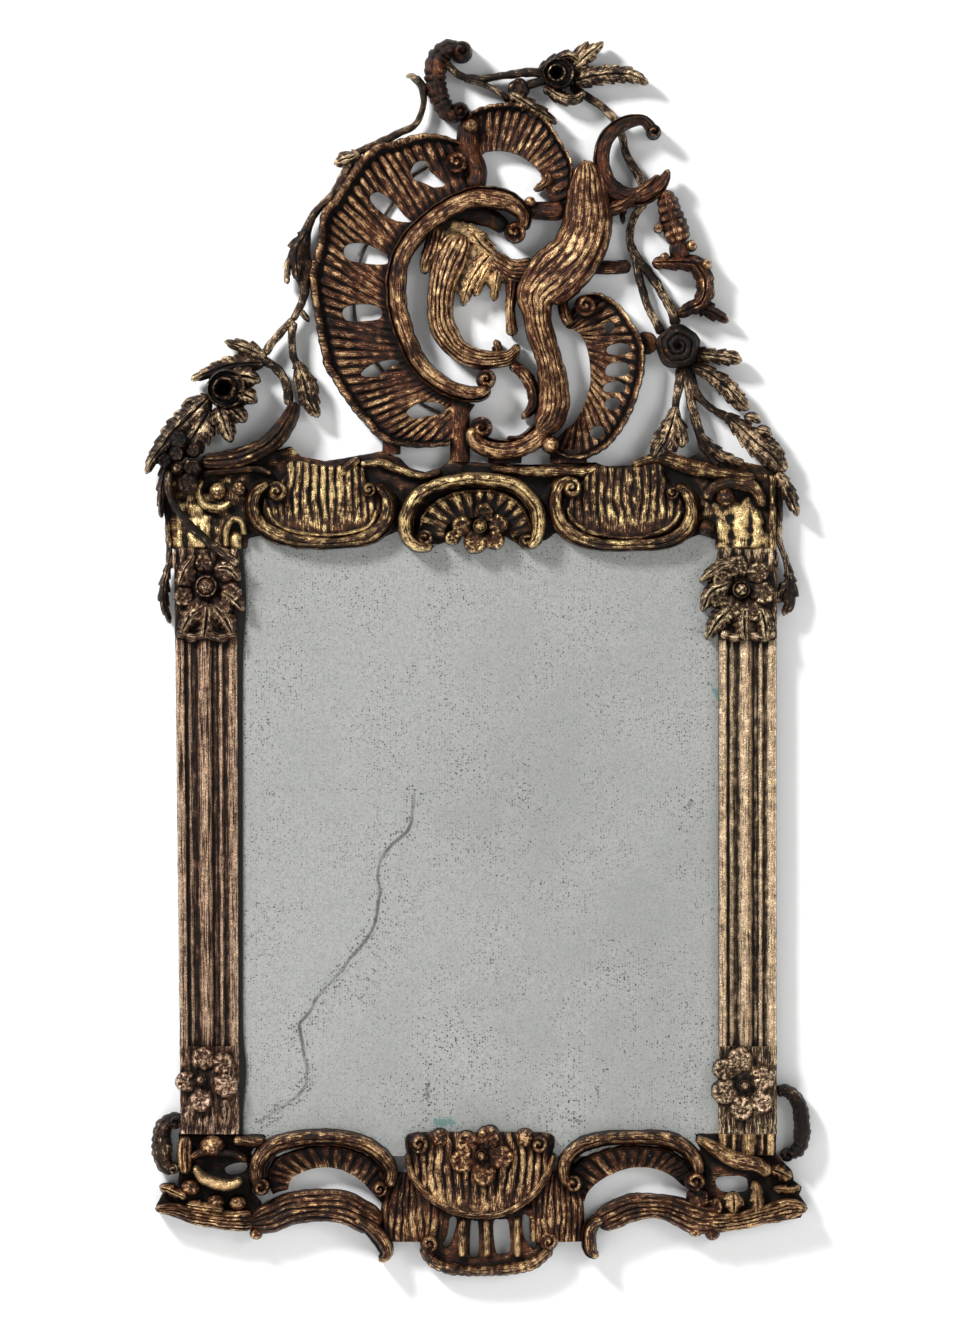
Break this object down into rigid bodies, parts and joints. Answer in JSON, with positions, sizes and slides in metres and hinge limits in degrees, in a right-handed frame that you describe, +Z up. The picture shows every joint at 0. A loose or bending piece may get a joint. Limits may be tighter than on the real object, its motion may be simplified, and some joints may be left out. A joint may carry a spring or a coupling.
{
  "type": "wall mirror",
  "caption": "Tall wall mirror in a carved and gilded wooden frame: pierced shell crest, flower garlands, fluted stiles and a pierced apron.",
  "frame": {"origin": "centre of the flat back of the top rail, where it rests against the wall", "axes": "+Z up, +Y out of the back into the wall, so the front looks along -Y, +X to the viewer's right"},
  "size_m": [0.7968, 0.058, 1.4809],
  "materials": {
    "carved_crest": "worn gilding over red bole, dark",
    "carved_rail": "worn gilding over red bole",
    "gilt_stile": "worn gilding with pink and brown streaks",
    "carved_apron": "worn gilding, dark",
    "dark_carving": "dark brown with traces of gilding",
    "iron_wire": "dark, dull",
    "mirror_glass": "aged silvering with dark specks",
    "bare_pine": "bare, aged"
  },
  "bodies": {
    "root": {"crest": "carved_crest", "crest_wire": "iron_wire", "top_rail": "carved_rail", "left_stile": "gilt_stile", "right_stile": "gilt_stile", "bottom_rail": "carved_apron", "left_ear": "dark_carving", "right_ear": "dark_carving", "left_garland": "dark_carving", "top_garland": "dark_carving", "right_garland": "dark_carving", "mirror_plate": "mirror_glass", "backboard": "bare_pine"}
  },
  "joints": []
}
